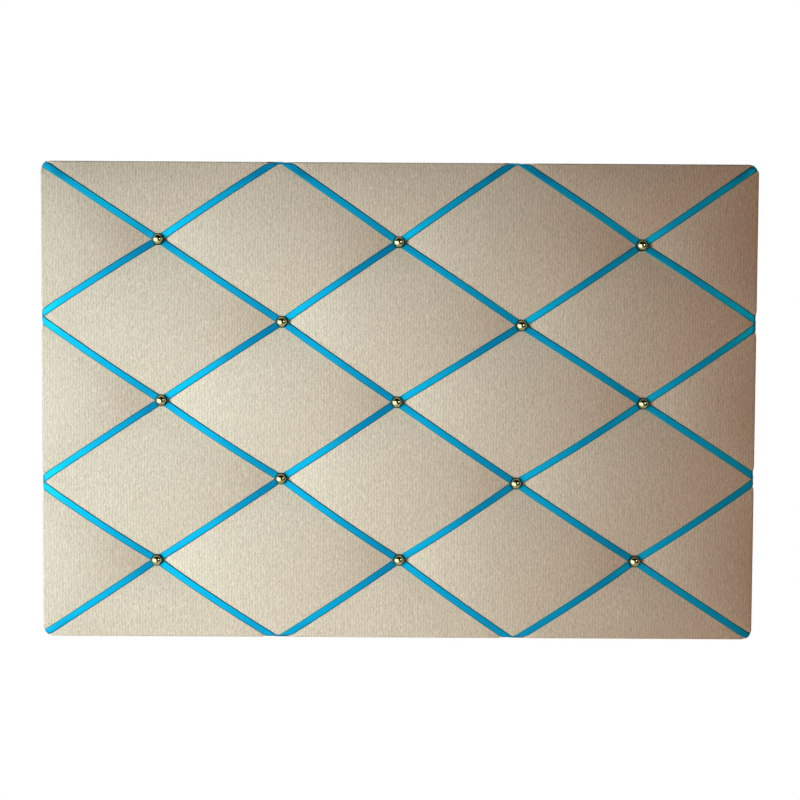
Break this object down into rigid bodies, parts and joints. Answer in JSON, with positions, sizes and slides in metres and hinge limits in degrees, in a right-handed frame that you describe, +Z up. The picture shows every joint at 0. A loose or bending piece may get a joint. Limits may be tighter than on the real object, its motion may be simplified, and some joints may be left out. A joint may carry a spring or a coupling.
{
  "type": "padded ribbon memo board",
  "caption": "Padded fabric-covered memo board with a diamond lattice of satin ribbons nailed down by domed brass studs, hung from hinged D rings on its back.",
  "frame": {"origin": "middle of the backing panel's outer face", "axes": "+X to the right of someone facing the board, +Y from the padded front towards the wall, +Z up"},
  "size_m": [0.6024, 0.0329, 0.4024],
  "materials": {
    "cotton_cover": "cream slub-ribbed cotton, matt",
    "satin_ribbon": "turquoise polyester satin",
    "polyester_wadding": "white bonded fibre",
    "fibreboard": "plain medium-density fibreboard",
    "hardboard": "brown hardboard, smooth side out",
    "brass": "polished brass",
    "zinc_steel": "bright zinc-plated steel"
  },
  "bodies": {
    "board": {"backing_panel": "hardboard", "core_board": "fibreboard", "fabric_cover": "cotton_cover", "hanger_screw_left": "zinc_steel", "hanger_screw_right": "zinc_steel", "hanger_strap_left": "zinc_steel", "hanger_strap_right": "zinc_steel", "ribbon_falling_1": "satin_ribbon", "ribbon_falling_2": "satin_ribbon", "ribbon_falling_3": "satin_ribbon", "ribbon_falling_4": "satin_ribbon", "ribbon_falling_5": "satin_ribbon", "ribbon_rising_1": "satin_ribbon", "ribbon_rising_2": "satin_ribbon", "ribbon_rising_3": "satin_ribbon", "ribbon_rising_4": "satin_ribbon", "ribbon_rising_5": "satin_ribbon", "staple_01": "zinc_steel", "staple_02": "zinc_steel", "staple_03": "zinc_steel", "staple_04": "zinc_steel", "staple_05": "zinc_steel", "staple_06": "zinc_steel", "staple_07": "zinc_steel", "staple_08": "zinc_steel", "staple_09": "zinc_steel", "staple_10": "zinc_steel", "staple_11": "zinc_steel", "staple_12": "zinc_steel", "staple_13": "zinc_steel", "staple_14": "zinc_steel", "staple_15": "zinc_steel", "staple_16": "zinc_steel", "staple_17": "zinc_steel", "staple_18": "zinc_steel", "staple_19": "zinc_steel", "staple_20": "zinc_steel", "stud_01": "brass", "stud_02": "brass", "stud_03": "brass", "stud_04": "brass", "stud_05": "brass", "stud_06": "brass", "stud_07": "brass", "stud_08": "brass", "stud_09": "brass", "stud_10": "brass", "stud_11": "brass", "stud_12": "brass", "stud_13": "brass", "wadding": "polyester_wadding"},
    "ring_left": {"hanger_ring_left": "zinc_steel"},
    "ring_right": {"hanger_ring_right": "zinc_steel"}
  },
  "joints": [
    {"name": "left_ring_swing", "type": "hinge", "parent": "board", "child": "ring_left", "pos_m": [-0.21, 0.0026, 0.13], "axis": [-1, 0, 0], "range_deg": [0, 185]},
    {"name": "right_ring_swing", "type": "hinge", "parent": "board", "child": "ring_right", "pos_m": [0.21, 0.0026, 0.13], "axis": [-1, 0, 0], "range_deg": [0, 185]}
  ]
}
